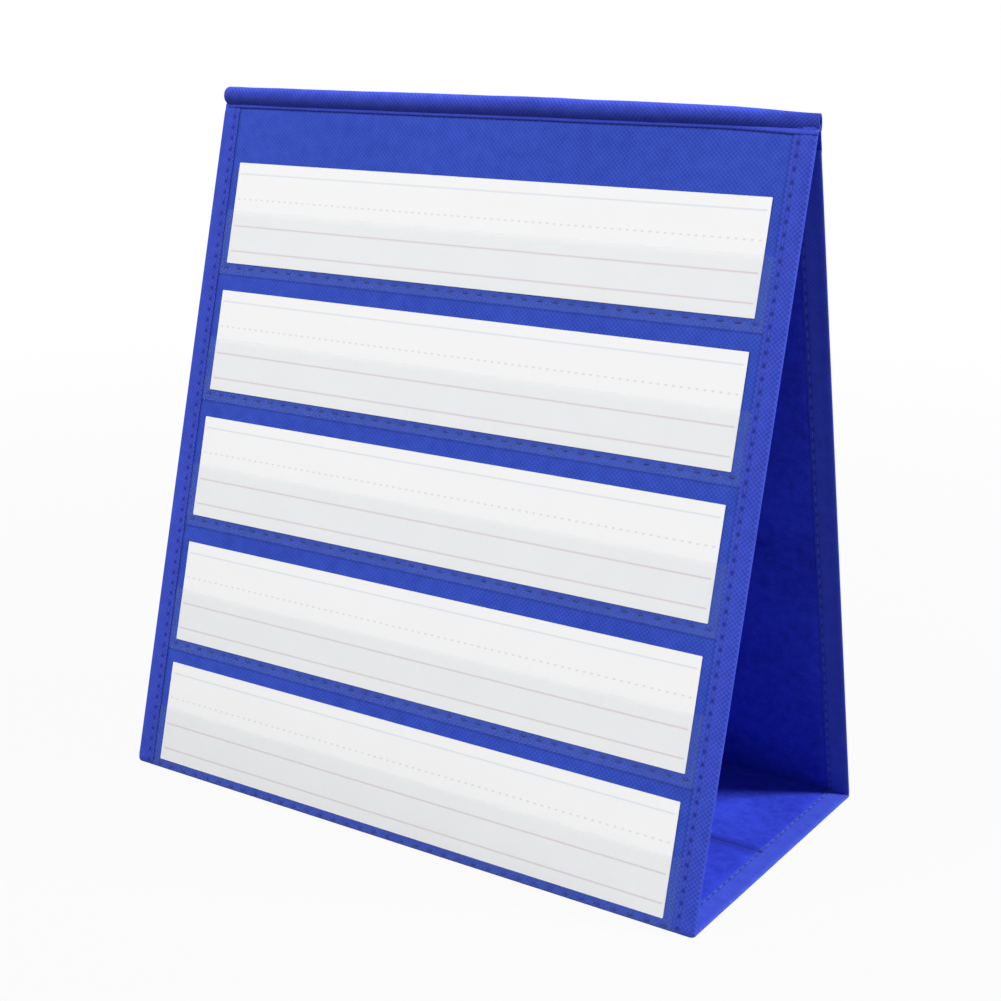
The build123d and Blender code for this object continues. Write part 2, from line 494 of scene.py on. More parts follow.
materials = {
    "cover": embossedCloth("pressedCover", clothLook["coverLow"], clothLook["coverHigh"],
                           pockets=pocket["rises"]),
    "roll": embossedCloth("pressedRoll", clothLook["rollLow"], clothLook["rollHigh"], rolled=True),
    "plain": embossedCloth("pressedPlain", clothLook["rollLow"], clothLook["rollHigh"]),
    "paintedShadeCloth": plainCloth("paintedShadeCloth", rollLook["paintedShadeLow"], rollLook["paintedShadeHigh"]),
    "hem": embossedCloth("pressedHem", clothLook["hemLow"], clothLook["hemHigh"], 0.6,
                         seams=hemLook["seams"]),
    "lip": embossedCloth("pressedLip", clothLook["lipLow"], clothLook["lipHigh"], 0.15),
    "darkThread": threadLook("darkThread", threadTint["darkLow"], threadTint["darkHigh"]),
    "lining": plainCloth("softLining", clothLook["liningLow"], clothLook["liningHigh"]),
    "thread": threadLook("blueThread", threadTint["low"], threadTint["high"]),
    "film": filmLook("clearFilm"),
    "card": cardPaper("ruledCard"),
    "board": boardLook("greyBoard"),
}
print("materials made")


# building

def stations(*spans):
    # positions along a strip: each span is (start, end, step)
    found = []
    for start, end, step in spans:
        count = max(1, round(abs(end - start) / step))
        found += [start + (end - start) * i / count for i in range(count)]
    return found + [spans[-1][1]]


def sweep(profile, steps):
    # a net of points: the profile is a chain of (x, out), repeated at each step along
    columns, rows = len(profile) - 1, len(steps) - 1
    mesh = bmesh.new()
    across = mesh.verts.layers.float.new("across")
    bmesh.ops.create_grid(mesh, x_segments=columns, y_segments=rows, size=1)
    lengths = [0.0]
    for here, there in zip(profile, profile[1:]):
        lengths.append(lengths[-1] + hypot(there[0] - here[0], there[1] - here[1]))
    for point in mesh.verts:
        column = round((point.co.x + 1) / 2 * columns)
        row = round((point.co.y + 1) / 2 * rows)
        point.co = (profile[column][0], steps[row], profile[column][1])
        point[across] = lengths[column]
    return mesh


def lay(mesh, where, facing, cloth=lambda across, along: (across, along)):
    # stores the cloth's own map, moves each point to its place, and turns the faces to look along facing
    uv = mesh.loops.layers.uv.new("cloth")
    across = mesh.verts.layers.float.get("across")
    for face in mesh.faces:
        for loop in face.loops:
            loop[uv].uv = Vector(cloth(loop.vert[across], loop.vert.co.y)) / 1000
    for point in mesh.verts:
        point.co = where(*point.co)
    mesh.normal_update()
    mesh.faces.ensure_lookup_table()
    if mesh.faces[0].normal.dot(Vector(facing)) < 0:
        bmesh.ops.reverse_faces(mesh, faces=mesh.faces[:])
    return mesh


# front, base and back are one long strip, and its map runs on from piece to piece
sheetHalf = 160.5
strip = {
    False: lambda across, along: (across - sheetHalf, along),
    "crease": lambda across, along: (across - sheetHalf, -tent["halfDepth"] - along),
    True: lambda across, along: (sheetHalf - across, -2 * tent["halfDepth"] - along),
}
hemStrip = {
    False: lambda across, along: (across, along),
    "crease": lambda across, along: (across, -tent["halfDepth"] - along),
    True: lambda across, along: (across, -2 * tent["halfDepth"] - along),
}


def makePiece(name, mesh, look, back=False):
    for face in mesh.faces:
        face.smooth = True
    if back:
        turnedBack(mesh)
    for edge in mesh.edges:
        if edge.is_boundary:
            edge.smooth = False  # so that the wall's rim doesn't shade the cloth beside it
    data = bpy.data.meshes.new(name)
    mesh.to_mesh(data)
    mesh.free()
    data.materials.append(materials[look])
    piece = bpy.data.objects.new(name, data)
    bpy.context.scene.collection.objects.link(piece)
    return piece


def thicken(piece, thickness):
    wall = piece.modifiers.new("wall", "SOLIDIFY")
    wall.thickness = thickness / 1000
    wall.offset = -1
    wall.use_even_offset = True


def turnedPoint(point, back):
    return (-point[0], -point[1], point[2]) if back else tuple(point)


frontOut = Vector((0, -leanCos, leanSin))
frontIn = -frontOut

cornerBend = {"reach": 1.3}  # half the width of the cloth that turns round the corner, in millimetres
cornerMiddle = basePoint(0, cornerMiter * tent["thickness"] / 2, -tent["thickness"] / 2)
cornerAcross = Vector((0, 0.6148, -0.7887))  # from the leaf's side of the corner to the base's


def bendAtCorner(piece, back):
    step = cornerAcross * cornerBend["reach"] / 1000
    leaf, base = ("back_leaf", "base_rear") if back else ("front_leaf", "base_front")
    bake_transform(piece, leaf, base,
             start=turnedPoint(cornerMiddle - step, back), end=turnedPoint(cornerMiddle + step, back))


def bendAtCrease(piece):
    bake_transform(piece, "base_front", "base_rear", start=(0, -0.0016, 0), end=(0, 0.0016, 0))


def bendAtNeck(piece):
    low = leafPoint(0, tent["neckFold"] - 1.5, 0)
    high = leafPoint(0, tent["neckFold"] + 1.5, 0)
    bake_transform(piece, "front_leaf", "ridge", start=low, end=high)


def leafSteps(top):
    return stations((top, 12, 6), (12, 3, 1), (3, -3, 0.3), (-3, -12, 1), (-12, baseEnd, 6))


creaseSteps = stations((-40, -4, 6), (-4, 4, 0.25), (4, 40, 6))

# covers and linings

cover = {
    "edgeStart": 150.5,  # where the base's cover steps in, so that the hems lie flush
    "edgeEnd": 152.0,
    "edgeDrop": 0.5,
    "creaseDepth": 0.35,
    "creaseWidth": 0.7,
}
coverProfile = [(x, 0) for x in stations((-sheetHalf, -152, 2.5), (-152, -150, 0.5), (-150, 150, 6),
                                         (150, 152, 0.5), (152, sheetHalf, 2.5))]


def coverLevel(x, along):
    side = smooth(abs(x), cover["edgeStart"], cover["edgeEnd"])
    return -cover["edgeDrop"] * side * (1 - smooth(along, -4, 0))


def coverPlace(x, along, out):
    return chainPoint(x, along, out + coverLevel(x, along))


def coverCreasePlace(x, along, out):
    groove = cover["creaseDepth"] * exp(-(along / cover["creaseWidth"]) ** 2)
    return creasePoint(x, along, out + coverLevel(x, -99) - groove)


lining = {
    "boardEdge": 149.2,
    "edgeEnd": 156.0,
    "leafEdge": -1.25,
    "baseEdge": -1.75,
    "dipDepth": 0.35,  # a wide dip with a sharp crease at its middle
    "dipWidth": 1.6,
    "creaseDepth": 0.15,
    "creaseWidth": 0.45,
}
liningProfile = [(x, 0) for x in stations((-sheetHalf, -157, 2.5), (-157, -148, 0.75), (-148, 148, 6),
                                          (148, 157, 0.75), (157, sheetHalf, 2.5))]


def liningLevel(x, along):
    edge = lining["leafEdge"] + (lining["baseEdge"] - lining["leafEdge"]) * (1 - smooth(along, -4, 4))
    side = smooth(abs(x), lining["boardEdge"], lining["edgeEnd"])
    return -tent["thickness"] + (edge + tent["thickness"]) * side


def liningPlace(x, along, out):
    return chainPoint(x, along, liningLevel(x, along))


def liningCreasePlace(x, along, out):
    inside = 1 - smooth(abs(x), 148, 151)
    dip = lining["dipDepth"] * exp(-(along / lining["dipWidth"]) ** 2)
    dip += lining["creaseDepth"] * exp(-(along / lining["creaseWidth"]) ** 2)
    return creasePoint(x, along, liningLevel(x, -99) + dip * (0.35 + 0.65 * inside))


def makeSheet(kind, name, mesh, length, back=False):
    piece = makePiece(f"{kind}{name}", mesh, kind, back)
    thicken(piece, tent["cloth"])
    length / 1000
    return piece


for back in (False, True):
    leaf, base, side = ("back", "base_rear", "Back") if back else ("front", "base_front", "Front")
    tops = {"cover": tent["leafTop"] if back else tent["neckStart"], "lining": tent["leafTop"]}
    for kind, profile, where, facing in (("cover", coverProfile, coverPlace, frontOut),
                                         ("lining", liningProfile, liningPlace, frontIn)):
        mesh = lay(sweep(profile, leafSteps(tops[kind])), where, facing, strip[back])
        piece = makeSheet(kind, side, mesh, tops[kind] - baseEnd, back)
        bendAtCorner(piece, back)
        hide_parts(f"{leaf}_{kind}", f"{base}_{kind}")

creaseLength = 2 * tent["baseMiddle"]
for kind, profile, where, facing in (("cover", coverProfile, coverCreasePlace, (0, 0, -1)),
                                     ("lining", liningProfile, liningCreasePlace, (0, 0, 1))):
    mesh = lay(sweep(profile, creaseSteps), where, facing, strip["crease"])
    bendAtCrease(makeSheet(kind, "Crease", mesh, creaseLength))
print("covers and linings made")

# side hems

hem = {
    "width": 10.5,
    "cloth": 0.46,
    "stitchInset": 7.9,
    "innerInset": 9.3,
    "grooveDepth": 0.16,
    "grooveWidth": 0.6,
    "dimpleDepth": 0.22,
    "dimpleAcross": 0.5,
    "dimpleAlong": 0.7,
    "crown": 0.16,
    "crownRise": (1, 3.5),  # insets between which the face swells, and sinks again
    "crownFall": (5, 7.6),
    "edgeRound": 2.2,  # how far in from the fold the faces begin to turn
    "leafOuter": 0.7,
    "leafInner": -1.5,
    "baseOuter": 0.0,
    "baseInner": -2.0,
    "edgeWobble": 0.18,
    "edgeWave": 0.09,
    "edgeSink": 0.34,
    "turn": 2.5,  # cloth used by the turn from one face to the other
    "innerEdge": -2.95,  # level of the inner face where it lies over the board's edge
    "innerSlope": (3.0, 9.8),  # insets between which it gets there
    "creaseInner": 0.14,  # how far the base's fold moves the inner face, and the outer one
    "creaseOuter": -0.1,
    "creaseWidth": 1.2,
}
# insets of the points across a face, from the hem's free edge towards the fold
hemFace = [10.5, 10.1, 9.4, 8.9, 8.5, 8.2, 7.9, 7.6, 7.3, 6.9, 6.2, 5.2, 4.2, 3.2, 2.6]


def hemProfile(side):
    # each point's x, then the share of the way from the outer to the inner face
    outer = [(side * (tent["halfWidth"] - inset), 0.0) for inset in hemFace]
    reach = hem["edgeRound"]
    turn = [(side * (tent["halfWidth"] - reach + reach * sin(pi * i / 12)), (1 - cos(pi * i / 12)) / 2)
            for i in range(1, 12)]
    inner = [(x, 1.0) for x, share in reversed(outer)]
    return outer + turn + inner


def hemLevels(along):
    onLeaf = smooth(along, 0, 4)
    outer = hem["baseOuter"] + (hem["leafOuter"] - hem["baseOuter"]) * onLeaf
    inner = hem["baseInner"] + (hem["leafInner"] - hem["baseInner"]) * smooth(along, -3, 3)
    return outer, inner


def innerSlope(inset, inner):
    return (inner - hem["innerEdge"]) * smooth(inset, *hem["innerSlope"])


def hemShape(x, along, share, flatCrown=False):
    outer, inner = hemLevels(along)
    inset = tent["halfWidth"] - abs(x)
    face = abs(1 - 2 * share)
    toLine = inset - (hem["stitchInset"] if share < 0.5 else hem["innerInset"])
    groove = hem["grooveDepth"] * exp(-(toLine / hem["grooveWidth"]) ** 2)
    toHole = ((along / hemLook["pitch"]) % 1 - 0.5) * hemLook["pitch"]
    spread = (toLine / hem["dimpleAcross"]) ** 2 + (toHole / hem["dimpleAlong"]) ** 2
    dimple = hem["dimpleDepth"] * exp(-spread)
    puff = hem["crown"] * smooth(inset, *hem["crownRise"]) * (1 - smooth(inset, *hem["crownFall"]))
    puff *= 0.75 + 0.6 * ripple(x, along, 14, 3)
    lip = hem["edgeWave"] * ripple(x, along, 7, 5) * smooth(inset, 8.6, 10.2)
    if flatCrown:
        puff = -0.03
        lip = -0.02
    if share < 0.5:
        lip -= hem["edgeSink"] * smooth(inset, 9.2, 10.4)
    swell = (puff + lip - groove - dimple) * smooth(face, 0.5, 1) * (1 if share < 0.5 else -1)
    if share > 0.5:
        swell -= innerSlope(inset, inner)
    wobble = hem["edgeWobble"] * ripple(0, along, 9, 8) * smooth(inset, 8.4, 10.5)
    return x + (wobble if x < 0 else -wobble), outer + (inner - outer) * share + swell


def hemPlace(x, along, share):
    flat = along < 1 and share < 0.5  # the underside stays level
    shapedX, out = hemShape(x, along, share, flat)
    return chainPoint(shapedX, along, min(out, 0) if flat else out)


def hemCreasePlace(x, along, share):
    shapedX, out = hemShape(x, -tent["halfDepth"] - along, share, share < 0.5)
    sink = hem["creaseInner"] if share > 0.5 else hem["creaseOuter"]
    out = min(out, 0) if share < 0.5 else out
    return creasePoint(shapedX, along, out + sink * exp(-(along / hem["creaseWidth"]) ** 2))


def hemSteps(top):
    return stations((top, 5, 1.086), (5, -5, 0.4), (-5, baseEnd, 1.086))


hemCreaseSteps = stations((-40, -4, 1.086), (-4, 4, 0.3), (4, 40, 1.086))


def finishHem(piece, length):
    thicken(piece, hem["cloth"])
    # the rims, the cut ends tucked under the ridge among them, are painted dark as shade with the same cloth
    # as the roll's inside
    piece.data.materials.append(materials["paintedShadeCloth"])
    piece.modifiers["wall"].material_offset_rim = 1
    length / 1000


for hand, side in (("Left", -1), ("Right", 1)):
    for back in (False, True):
        # turned half round, a right hem is the back's left one
        turnedHand = {"Left": "Right", "Right": "Left"}[hand] if back else hand
        leaf, base, name = ("back", "base_rear", "Back") if back else ("front", "base_front", "Front")
        top = tent["leafTop"] if back else tent["neckStart"]
        mesh = lay(sweep(hemProfile(side), hemSteps(top)), hemPlace, frontOut, hemStrip[back])
        piece = makePiece(f"hem{name}{turnedHand}", mesh, "hem", back)
        finishHem(piece, top - baseEnd)
        bendAtCorner(piece, back)
        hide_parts(f"{leaf}_hem_{turnedHand.lower()}", f"{base}_hem_{turnedHand.lower()}")
    mesh = lay(sweep(hemProfile(side), hemCreaseSteps), hemCreasePlace, (0, 0, -1), hemStrip["crease"])
    piece = makePiece(f"hemCrease{hand}", mesh, "hem")
    finishHem(piece, creaseLength)
    bendAtCrease(piece)
print("hems made")

# ridge: neck, roll and lip

ridge = {
    "radius": 4.5,
    "middle": 336.08,  # height of the roll's middle
    "left": -159.8,
    "right": 162.8,
    "slit": 26.0,  # degrees of the round left open below, where the leaves go in
    "rightDepth": 0.34,  # the right end is pressed flat to this share of its depth
    "depthSpan": (118, 163),  # from here to there along the roll
    "rightHeight": 0.86,
    "heightSpan": (20, 175),
    "rightTilt": 0.1,  # the flattened end leans forward
    "tiltSpan": (100, 163),
    "waves": 0.16,
    "seamHeight": 340.1,
    "seamDepth": 0.16,
    "seamWidth": 0.45,
    "lipDroop": 1.3,  # of the lip's right end
    "droopSpan": (110, 163),
    "lipWave": 0.22,
    "lipFlat": 10.8,  # the lip's cloth laid flat
    "neckTop": 342.6,
    "hemTuck": 0.35,  # the neck's hems sink under the lip
    "flapLow": 331.6,
    "flapLevel": 0.6,
    "flapStep": 0.66,
    "flapWidth": 324,
    "flapFlat": 10.8,
    "coreHalf": 159,
    "coreTurns": 1.8,
    "coreOuter": 3.75,
    "coreInner": 1.3,
    "endReach": 1.7,
}


def lipSag(x):
    return ridge["lipDroop"] * smooth(x, *ridge["droopSpan"]) ** 2 + ridge["lipWave"] * ripple(x, 0, 40, 2)


def rollPlace(arc, x, radius):
    angle = arc / ridge["radius"]
    fade = smooth(x, ridge["left"], -150)
    wave = ripple(x, arc * 1.2, 24, 4) + 0.5 * ripple(x, arc, 8, 6)
    reach = radius + ridge["waves"] * wave * fade
    depth = 1 - (1 - ridge["rightDepth"]) * smooth(x, *ridge["depthSpan"])
    height = 1 - (1 - ridge["rightHeight"]) * smooth(x, *ridge["heightSpan"])
    low = ridge["middle"] - ridge["radius"] - lipSag(x)
    tilt = ridge["rightTilt"] * smooth(x, *ridge["tiltSpan"]) * (reach * sin(angle) + 1)
    return Vector((x, reach * cos(angle) * depth - tilt,
                   low + (ridge["radius"] + reach * sin(angle)) * height)) / 1000


def seamGroove(x, along):
    return ridge["seamDepth"] * exp(-((along - ridge["seamHeight"] + lipSag(x)) / ridge["seamWidth"]) ** 2)


def neckPlace(x, along, out):
    return leafPoint(x, along, out - seamGroove(x, along))


def neckHemPlace(x, along, share):
    shapedX, out = hemShape(x, along, share)
    if share < 0.5:
        out -= seamGroove(x, along) + ridge["hemTuck"] * smooth(along, 337, 342)
    return leafPoint(shapedX, along, out)


def flapPlace(x, along, out):
    # the rear flap steps up over the hems, and its edge is turned in
    lift = ridge["flapStep"] * smooth(abs(x), 148.5, 151.5) + 0.1 * ripple(x, along, 18, 9)
    turned = 0.3 * (1 - smooth(along, ridge["flapLow"], ridge["flapLow"] + 0.8))
    return leafPoint(x, along, ridge["flapLevel"] + lift - turned)


def rideRidge(piece, length):
    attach(piece, "ridge")
    length / 1000


necks = {
    "Front": stations((tent["neckStart"], 330, 2), (330, 337, 0.4), (337, ridge["neckTop"], 0.45)),
    "Back": stations((333.6, ridge["neckTop"] + 1.2, 0.7)),
}
neckProfile = [(x, 0) for x in stations((-sheetHalf, sheetHalf, 6))]
innerNeckProfile = [(x, 0) for x in stations((-158, 158, 6))]
for name, steps in necks.items():
    back = name == "Back"
    height = steps[-1] - steps[0]
    profile = innerNeckProfile if back else neckProfile
    mesh = lay(sweep(profile, steps), neckPlace, frontOut, strip[back])
    piece = makePiece(f"neck{name}", mesh, "plain" if back else "cover", back)
    thicken(piece, tent["cloth"])
    (profile[-1][0] - profile[0][0]) / 1000
    height / 1000
    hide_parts(f"ridge_flap_{name.lower()}")
    if back:
        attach(piece, "ridge")
        continue  # the rear flap hides the ends of the back leaf's hems
    bendAtNeck(piece)
    for hand, side in (("Left", -1), ("Right", 1)):
        mesh = lay(sweep(hemProfile(side), steps), neckHemPlace, frontOut, hemStrip[False])
        piece = makePiece(f"neckHem{hand}", mesh, "hem")
        thicken(piece, hem["cloth"])
        height / 1000
        bendAtNeck(piece)

# the lip's fold, as (along, out): down from the roll, round its lowest point and up again
lipPath = [(345.6, -0.9), (344.2, -0.6), (343.2, -0.1), (342.5, 0.6), (341.95, 0.98), (341.5, 1.1),
           (341.05, 1.02), (340.72, 0.8), (340.58, 0.5), (340.7, 0.3), (341.05, 0.18), (341.6, 0.1),
           (342.4, -0.35), (343.4, -0.9), (344.8, -1.35)]
alongRoll = stations((ridge["left"], -148, 1), (-148, 140, 3), (140, ridge["right"], 1))
mesh = lay(sweep(lipPath, alongRoll), lambda up, x, out: leafPoint(x, up - lipSag(x), out), frontOut)
piece = makePiece("ridgeLip", mesh, "lip")
thicken(piece, 0.3)
rideRidge(piece, ridge["lipFlat"])

flapHalf = ridge["flapWidth"] / 2
flapProfile = [(x, 0) for x in stations((-flapHalf, flapHalf, 6))]
flapSteps = stations((ridge["flapLow"], 334, 0.4), (334, 342.4, 1.2))
mesh = lay(sweep(flapProfile, flapSteps), flapPlace, frontOut)
piece = makePiece("ridgeFlap", mesh, "plain", True)
thicken(piece, tent["cloth"])
rideRidge(piece, ridge["flapFlat"])

openHalf = radians(ridge["slit"] / 2)
roundSteps = [share / 52 for share in range(53)]
rollTurn = [(-pi / 2 + openHalf + share * (2 * pi - 2 * openHalf)) * ridge["radius"] for share in roundSteps]
mesh = lay(sweep([(arc, ridge["radius"]) for arc in rollTurn], alongRoll), rollPlace,
             (0, sin(openHalf), -cos(openHalf)))
piece = makePiece("rollWrap", mesh, "roll")
thicken(piece, 0.55)
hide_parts("ridge_roll")
rideRidge(piece, rollTurn[-1] - rollTurn[0])

# the cloth inside the roll winds inwards; it is painted dark as the roll's inner shade
windings = [share / 40 for share in range(41)]
coreTurn = [((-pi / 2 + share * ridge["coreTurns"] * 2 * pi) * ridge["radius"],
             ridge["coreOuter"] + (ridge["coreInner"] - ridge["coreOuter"]) * share) for share in windings]
alongCore = stations((-ridge["coreHalf"], 140, 20), (140, ridge["coreHalf"], 2))
mesh = lay(sweep(coreTurn, alongCore), rollPlace, (0, 0, -1))
piece = makePiece("rollCore", mesh, "paintedShadeCloth")
thicken(piece, 0.4)
coreFlat = ridge["coreTurns"] * pi * (ridge["coreOuter"] + ridge["coreInner"])
rideRidge(piece, coreFlat)


def makeRollEnd():
    # a flat soft dome that shuts the roll's left end
    mesh = bmesh.new()
    bmesh.ops.create_uvsphere(mesh, u_segments=40, v_segments=28, radius=1.0)
    bmesh.ops.rotate(mesh, verts=mesh.verts[:], cent=(0, 0, 0), matrix=Matrix.Rotation(pi / 2, 3, "Y"))
    bmesh.ops.bisect_plane(mesh, geom=mesh.verts[:] + mesh.edges[:] + mesh.faces[:],
                           plane_co=(0, 0, 0), plane_no=(1, 0, 0), clear_outer=True)
    uv = mesh.loops.layers.uv.new("cloth")
    for point in mesh.verts:
        spread = min(1, hypot(point.co.y, point.co.z))
        reach = ridge["endReach"] * (1 - spread ** 2.6) ** (1 / 2.6)
        pucker = 1 + 0.35 * ripple(point.co.y * 9, point.co.z * 9, 2.4, 12) * spread * (1 - spread) * 4
        point.co = ((ridge["left"] - reach * pucker) / 1000, point.co.y * ridge["radius"] / 1000,
                    (ridge["middle"] + point.co.z * ridge["radius"]) / 1000)
    for face in mesh.faces:
        for loop in face.loops:
            loop[uv].uv = (loop.vert.co.y, loop.vert.co.z)
    return mesh


piece = makePiece("rollEnd", makeRollEnd(), "plain")
thicken(piece, tent["cloth"])
endFlat = 2 * ridge["radius"] + 2
rideRidge(piece, endFlat)
print("ridge made")

# pockets and cards

filmHalf = 162
filmProfile = [(x, 0) for x in stations((-filmHalf, -151, 3.6), (-151, -147, 0.5), (-147, 147, 7),
                                        (147, 151, 0.5), (151, filmHalf, 3.6))]


def makeFilm(name, row, back):
    rise, lift, seam = pocket["rises"][row], pocket["lifts"][row], pocket["seams"][row]
    rampEnd = lift - pocket["rampShort"]

    def filmPlace(x, along, out):
        height = along - rise
        ramp = pocket["cardLevel"] * smooth(height, seam, rampEnd)
        lean = max(0, height - lift) * pocket["gape"]
        wave = pocket["wave"] * smooth(height, 8, 30) * ripple(x, row * 50, 45, 11)
        full = 1 - smooth(abs(x), pocket["pouchEnd"], pocket["wallFoot"])
        return leafPoint(x, along, (ramp + lean + wave + pocket["gap"]) * full + pocket["film"])
    steps = stations((rise, rise + seam, 0.8), (rise + seam, rise + rampEnd + 0.6, 0.35),
                     (rise + rampEnd + 0.6, rise + pocket["height"], 3))
    mesh = lay(sweep(filmProfile, steps), filmPlace, frontOut)
    piece = makePiece(name, mesh, "film", back)
    thicken(piece, pocket["wall"])
    return piece


def makeCard(name, row, back):
    low = pocket["rises"][row] + pocket["lifts"][row]
    half = card["length"] / 2
    mesh = sweep([(x, 0) for x in stations((-half, half, 14))], stations((card["height"], 0, 4)))
    corners = [v for v in mesh.verts if len(v.link_edges) == 2]
    bmesh.ops.bevel(mesh, geom=corners, offset=card["corner"], segments=2, profile=0.5, affect="VERTICES",
                    material=-1)
    across = mesh.verts.layers.float["across"]
    for point in mesh.verts:
        point[across] = point.co.x

    def cardPlace(x, height, out):
        curl = card["curl"] * smooth(height, card["curlFrom"], card["height"])
        curl *= 0.4 + ripple(x, row * 31, 80, 13)
        return leafPoint(x, low + height, card["back"] + card["thickness"] + max(0, curl))

    def fromTop(x, height):
        return x, card["height"] - height
    piece = makePiece(name, lay(mesh, cardPlace, frontOut, fromTop), "card", back)
    thicken(piece, card["thickness"])
    return piece


for back in (False, True):
    leaf, name = ("back", "Back") if back else ("front", "Front")
    for row in range(5):
        piece = makeFilm(f"film{name}{row + 1}", row, back)
        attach(piece, f"{leaf}_leaf")
        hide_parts(f"{leaf}_pocket_{row + 1}")
        piece = makeCard(f"card{name}{row + 1}", row, back)
        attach(piece, f"{leaf}_card_{row + 1}")
        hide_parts(f"{leaf}_card_{row + 1}")
print("pockets and cards made")

# stitches

stitch = {
    "hem": (3.9, 0.6, 0.42),  # length, width and height of one stitch
    "pocket": (3.0, 0.8, 0.34),
    "lip": (2.3, 0.36, 0.26),
    "edge": (1.9, 0.4, 0.3),
    "lipPitch": 3.0,
    "edgePitch": 2.83,
}


def stitchShape():
    # a small pod, laid along the seam and scaled for each stitch
    mesh = bmesh.new()
    bmesh.ops.create_uvsphere(mesh, u_segments=8, v_segments=5, radius=1.0)
    data = bpy.data.meshes.new("stitch")
    mesh.to_mesh(data)
    mesh.free()
    return data


oneStitch = stitchShape()


def addStitch(mesh, centre, along, out, length, width, height):
    along = along.normalized()
    side = out.cross(along).normalized()
    turn = Matrix((side, along.cross(side), along)).transposed().to_4x4()
    placed = oneStitch.copy()
    placed.transform(Matrix.Translation(centre) @ turn
                     @ Matrix.Diagonal((width / 2000, height / 2000, length / 2000, 1)))
    mesh.from_mesh(placed)
    bpy.data.meshes.remove(placed)


def rowAlong(mesh, places, starts, size):
    # each stitch lies between two points of the seam and looks outwards
    for start in starts:
        low, high = places(start, -0.5), places(start, 0.5)
        middle = places(start, 0)
        out = places(start, 0, 1) - middle
        addStitch(mesh, middle, high - low, out, *size)


def hemSeam(side, inner):
    # a seam line down one face of a hem; the stitches lie between the holes, which are at half pitches
    inset = hem["innerInset"] if inner else hem["stitchInset"]
    x = side * (tent["halfWidth"] - inset)

    def spot(start, shift, lift=0):
        along = start + shift
        outer, inside = hemLevels(along)
        level = outer - hem["grooveDepth"] * 0.6 + lift
        if inner:
            level = inside - innerSlope(inset, inside) + hem["grooveDepth"] * 0.6 - lift
        return chainPoint(x + 0.06 * ripple(0, along, 8, side), along, level)
    return spot


def stitchStarts(low, high, pitch):
    first = int(low // pitch) + 1
    return [k * pitch for k in range(first, int(high // pitch) + 1)]


def makeStitches(name, body, replaced, rows, back=False, look="thread"):
    mesh = bmesh.new()
    for places, starts, size in rows:
        rowAlong(mesh, places, starts, size)
    piece = makePiece(name, mesh, look, back)
    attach(piece, body)
    if replaced:
        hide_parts(*replaced)


def pocketSeam(row):
    height = pocket["rises"][row] + pocketSeams["heights"][row]

    def spot(start, shift, lift=0):
        wander = 0.05 * ripple(start, row * 20, 10, 2)
        return leafPoint(start + shift, height + wander, pocket["film"] + 0.04 + lift)
    return spot


def bottomSeam(start, shift, lift=0):
    # small stitches that bind the front's bottom edge
    return chainPoint(start + shift, 0.95, 0.02 + lift)


def lipSeam(start, shift, lift=0):
    x = start + shift
    level = 0.34 * smooth(abs(x), 150.5, 152.5)
    return leafPoint(x, ridge["seamHeight"] - lipSag(x), level - 0.1 + lift)


def flapSeam(start, shift, lift=0):
    return flapPlace(start + shift, ridge["flapLow"] + 1.6, 0) + frontOut * (lift + 0.02) / 1000


for back in (False, True):
    leaf, base, name = ("back", "base_rear", "Back") if back else ("front", "base_front", "Front")
    seams = [hemSeam(side, inner) for side in (-1, 1) for inner in (False, True)]
    leafRows = [(seam, stitchStarts(4, 332, hemLook["pitch"]), stitch["hem"]) for seam in seams]
    baseRows = [(seam, stitchStarts(-80, -6, hemLook["pitch"]), stitch["hem"]) for seam in seams]
    makeStitches(f"hemStitches{name}", f"{leaf}_leaf", [f"{leaf}_hem_thread"], leafRows, back)
    makeStitches(f"baseStitches{name}", base, [f"{base}_hem_thread"], baseRows, back)
    starts = stitchStarts(-151, 150, pocketSeams["pitch"])
    pocketRows = [(pocketSeam(row), starts, stitch["pocket"]) for row in range(5)]
    makeStitches(f"pocketStitches{name}", f"{leaf}_leaf", [f"{leaf}_pocket_thread"], pocketRows, back,
                 "darkThread")
    edgeRow = (bottomSeam, stitchStarts(-151, 150, stitch["edgePitch"]), stitch["edge"])
    makeStitches(f"edgeStitches{name}", f"{leaf}_leaf", [], [edgeRow], back, "darkThread")
lipStarts = stitchStarts(-160, 160, stitch["lipPitch"])
makeStitches("lipStitches", "ridge", [], [(lipSeam, lipStarts, stitch["lip"])])
makeStitches("flapStitches", "ridge", [], [(flapSeam, lipStarts, stitch["lip"])], True)
print("stitches made")

for name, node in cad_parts.items():
    if name.endswith("_board"):
        node.data.materials.clear()
        node.data.materials.append(materials["board"])

# room, light and camera

room = {
    "floorSize": 6.0,
    "floorShade": 0.32,
    "floorGlow": 0.94,  # share of plain white that the camera sees on the floor; far off it is all white
    "ambient": 0.18,
}


def whiteShare(tree):
    # one for what the camera sees directly, in gloss or through glass
    camera = tree.node("ShaderNodeLightPath", {}, {}, "Is Camera Ray")
    glossy, through = tree.outputs(camera, "Is Glossy Ray", "Is Transmission Ray")
    return (camera + glossy + through).clipped()


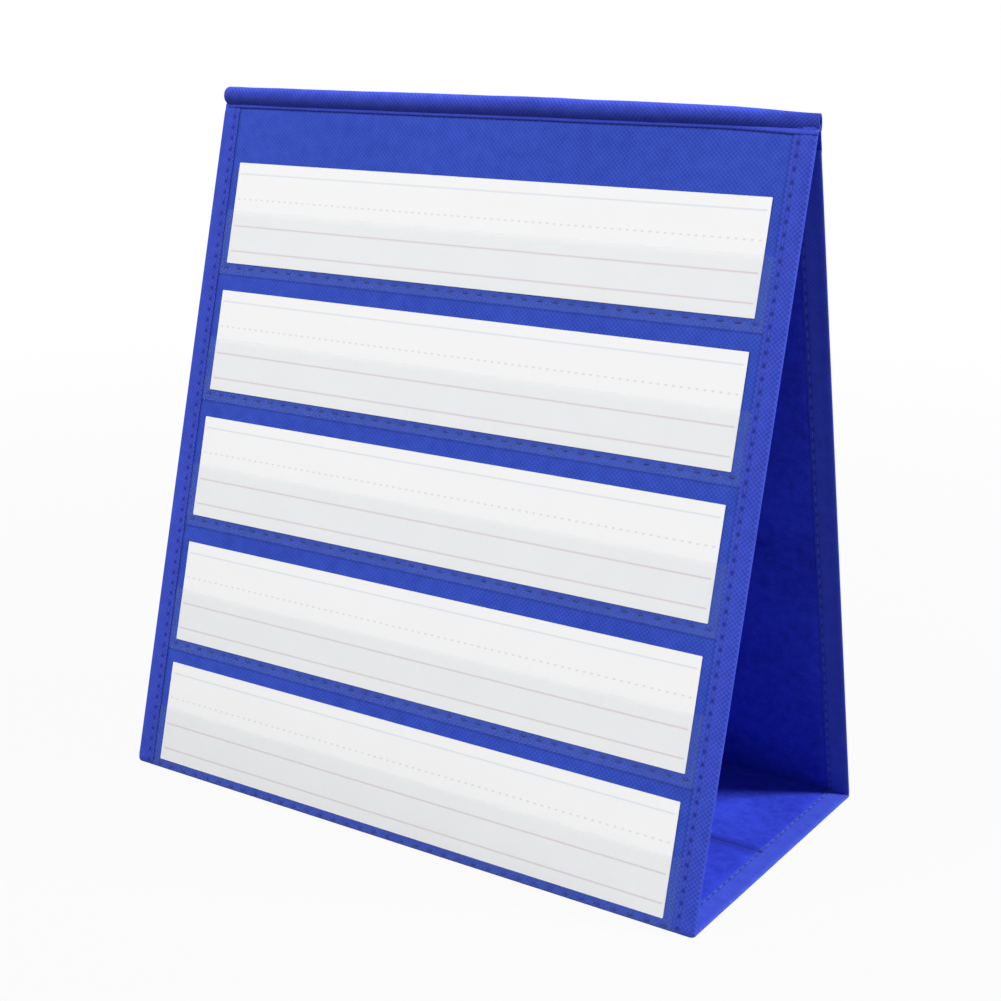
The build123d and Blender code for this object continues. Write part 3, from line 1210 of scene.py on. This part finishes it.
def makeFloor():
    mesh = bmesh.new()
    bmesh.ops.create_grid(mesh, x_segments=1, y_segments=1, size=room["floorSize"] / 2)
    data = bpy.data.meshes.new("floor")
    mesh.to_mesh(data)
    mesh.free()
    data.transform(Matrix.Translation((0, 0, -0.0004)))
    floor = bpy.data.objects.new("floor", data)
    bpy.context.scene.collection.objects.link(floor)
    shade = room["floorShade"]
    shader = Shader("paleFloor", Roughness=0.9, Specular_IOR_Level=0.1, Base_Color=(shade, shade, shade, 1))
    glow = shader.node("ShaderNodeEmission", {}, {"Color": (1, 1, 1, 1), "Strength": 1.0})
    away = shader.node("ShaderNodeVectorMath", {"operation": "LENGTH"}, {0: shader.objectPlace()}, "Value")
    glowShare = room["floorGlow"] + ((away - 500) / 900).clipped() * (1 - room["floorGlow"])
    mixed = shader.node("ShaderNodeMixShader", {}, {0: whiteShare(shader) * glowShare,
                                                    1: Value(shader, shader.surface.outputs[0]), 2: glow})
    shader.tree.links.new(mixed.socket, shader.tree.nodes["Material Output"].inputs["Surface"])
    data.materials.append(shader.material)


def makeWorld():
    world = bpy.data.worlds.new("studio")
    bpy.context.scene.world = world
    world.use_nodes = True
    tree = Tree(world.node_tree)
    light = tree.node("ShaderNodeBackground", {}, {"Color": (1, 1, 1, 1), "Strength": room["ambient"]})
    white = tree.node("ShaderNodeBackground", {}, {"Color": (1, 1, 1, 1), "Strength": 1.0})
    mixed = tree.node("ShaderNodeMixShader", {}, {0: whiteShare(tree), 1: light, 2: white})
    tree.tree.links.new(mixed.socket, tree.tree.nodes["World Output"].inputs["Surface"])


lamps = {
    "side": {"from": (2.335, 1.13, 2.295), "size": 0.77, "watts": 146},
    "front": {"from": (-1.02, -3.23, 4.4), "size": 2.89, "watts": 257},
}


def makeLamp(name, look):
    data = bpy.data.lights.new(name, "AREA")
    data.shape = "DISK"
    data.size = look["size"]
    data.energy = look["watts"]
    lamp = bpy.data.objects.new(name, data)
    lamp.location = look["from"]
    lamp.rotation_euler = (Vector((0, 0, 0.15)) - Vector(look["from"])).to_track_quat("-Z", "Y").to_euler()
    bpy.context.scene.collection.objects.link(lamp)


view = {"place": (0.45181, -0.67494, 0.37080), "turn": (74.634, -0.494, 33.525), "lens": 61.919}


def makeCamera():
    data = bpy.data.cameras.new("camera")
    data.lens = view["lens"]
    data.sensor_width = 36
    camera = bpy.data.objects.new("camera", data)
    camera.location = view["place"]
    camera.rotation_euler = [radians(a) for a in view["turn"]]
    bpy.context.scene.collection.objects.link(camera)
    bpy.context.scene.camera = camera


makeFloor()
makeWorld()
for name, look in lamps.items():
    makeLamp(name, look)
makeCamera()
bpy.context.scene.view_settings.view_transform = "Standard"
print("room, light and camera made")
